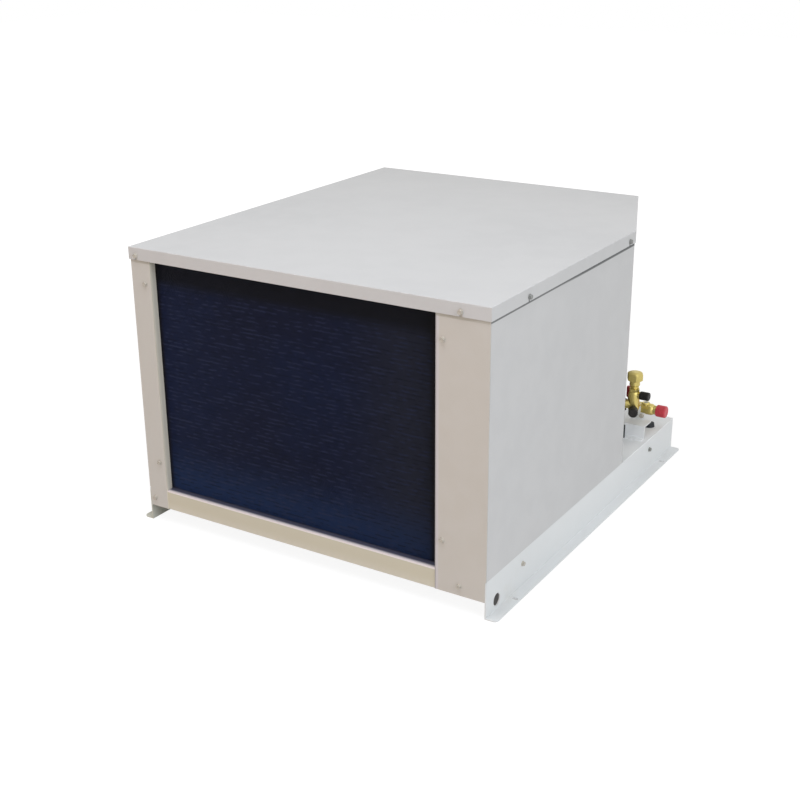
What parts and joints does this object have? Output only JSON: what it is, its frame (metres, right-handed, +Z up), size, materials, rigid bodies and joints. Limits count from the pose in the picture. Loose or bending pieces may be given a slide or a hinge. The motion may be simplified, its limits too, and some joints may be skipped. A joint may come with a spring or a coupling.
{
  "type": "refrigeration condensing unit",
  "caption": "Low weatherproof condensing unit: finned coil face, twisted-blade fan, hermetic compressor, lift-off lid, foot rails and an angled corner with capped service valves.",
  "frame": {"origin": "on the ground, under the middle of the unit's overall width and depth", "axes": "+X to the right seen from the coil face, +Y from the coil face to the louvered rear, +Z up"},
  "size_m": [0.746, 0.8286, 0.5215],
  "materials": {
    "cabinet_paint": "light grey-white baked polyester powder coat, satin",
    "zinc_screws": "bright zinc plate",
    "dark_fins": "dark blue-black fin coating",
    "galvanised_sheet": "galvanised sheet",
    "copper_tube": "drawn copper, slightly dulled",
    "fan_aluminium": "mill finish",
    "motor_paint": "dark grey enamel",
    "black_enamel": "semi-gloss black enamel",
    "black_rubber": "moulded rubber",
    "silicone_band": "silicone rubber strip",
    "black_plastic": "moulded plastic",
    "red_plastic": "moulded plastic",
    "forged_brass": "forged and machined brass",
    "drier_paint": "blue enamel",
    "clear_glass": "clear",
    "can_aluminium": "drawn can",
    "control_case": "grey enamel"
  },
  "bodies": {
    "cabinet": {"deck_pan": "cabinet_paint", "left_foot_rail": "cabinet_paint", "right_foot_rail": "cabinet_paint", "left_front_post": "cabinet_paint", "right_front_post": "cabinet_paint", "front_top_rail": "cabinet_paint", "left_side_panel": "cabinet_paint", "right_side_panel": "cabinet_paint", "angled_valve_panel": "cabinet_paint", "rear_louver_panel": "cabinet_paint", "valve_bracket": "cabinet_paint", "lid_screws": "zinc_screws", "cabinet_screws": "zinc_screws", "compressor_bolts": "zinc_screws", "coil_fin_pack": "dark_fins", "coil_end_plates": "galvanised_sheet", "fan_shroud": "galvanised_sheet", "motor_stand": "galvanised_sheet", "motor_band": "galvanised_sheet", "control_box": "galvanised_sheet", "coil_return_bends": "copper_tube", "discharge_line": "copper_tube", "condensate_line": "copper_tube", "liquid_line": "copper_tube", "suction_line": "copper_tube", "fan_motor": "motor_paint", "compressor_shell": "black_enamel", "receiver_tank": "black_enamel", "compressor_grommets": "black_rubber", "rubber_grommets": "black_rubber", "crankcase_heater": "silicone_band", "terminal_cover": "black_plastic", "contactor": "black_plastic", "terminal_block": "black_plastic", "sight_glass_body": "forged_brass", "suction_valve_body": "forged_brass", "liquid_valve_body": "forged_brass", "filter_drier": "drier_paint", "sight_glass_window": "clear_glass", "run_capacitor": "can_aluminium", "pressure_control": "control_case"},
    "lid": {"lid": "cabinet_paint"},
    "fan": {"fan_blades": "fan_aluminium", "fan_hub": "fan_aluminium", "motor_shaft": "zinc_screws"},
    "box_cover": {"control_box_cover": "galvanised_sheet"},
    "reset_button": {"reset_button": "red_plastic"},
    "suction_stem": {"suction_valve_stem": "zinc_screws"},
    "suction_seal_cap": {"suction_seal_cap": "forged_brass"},
    "gauge_cap": {"suction_gauge_cap": "black_plastic"},
    "front_cap": {"suction_front_cap": "black_plastic"},
    "access_cap": {"suction_access_cap": "red_plastic"},
    "liquid_stem": {"liquid_valve_stem": "zinc_screws"},
    "liquid_line_cap": {"liquid_line_cap": "red_plastic"}
  },
  "joints": [
    {"name": "fan_spin", "type": "hinge", "parent": "cabinet", "child": "fan", "pos_m": [-0.026, -0.3018, 0.284], "axis": [0, 1, 0], "continuous": true},
    {"name": "lid_lift", "type": "slide", "parent": "cabinet", "child": "lid", "axis": [0, 0, 1], "range_m": [0, 0.12]},
    {"name": "box_cover_lift", "type": "slide", "parent": "cabinet", "child": "box_cover", "axis": [0, 0, 1], "range_m": [0, 0.06]},
    {"name": "reset_press", "type": "slide", "parent": "cabinet", "child": "reset_button", "axis": [0, 0, -1], "range_m": [0, 0.003], "stiffness_N_per_m": 400},
    {"name": "suction_stem_turn", "type": "hinge", "parent": "cabinet", "child": "suction_stem", "pos_m": [0.3145, 0.279, 0.17], "axis": [0, 0, 1], "range_deg": [0, 720]},
    {"name": "suction_seal_cap_off", "type": "slide", "parent": "cabinet", "child": "suction_seal_cap", "axis": [0, 0, 1], "range_m": [0, 0.04]},
    {"name": "gauge_cap_off", "type": "slide", "parent": "cabinet", "child": "gauge_cap", "axis": [1, 0, 0], "range_m": [0, 0.03]},
    {"name": "front_cap_off", "type": "slide", "parent": "cabinet", "child": "front_cap", "axis": [0.3664, -0.9305, 0], "range_m": [0, 0.03]},
    {"name": "access_cap_off", "type": "slide", "parent": "cabinet", "child": "access_cap", "axis": [0, 0, 1], "range_m": [0, 0.03]},
    {"name": "liquid_stem_turn", "type": "hinge", "parent": "cabinet", "child": "liquid_stem", "pos_m": [0.326, 0.318, 0.12], "axis": [0, 0, 1], "range_deg": [0, 720]},
    {"name": "liquid_line_cap_off", "type": "slide", "parent": "cabinet", "child": "liquid_line_cap", "axis": [1, 0, 0], "range_m": [0, 0.03]}
  ]
}
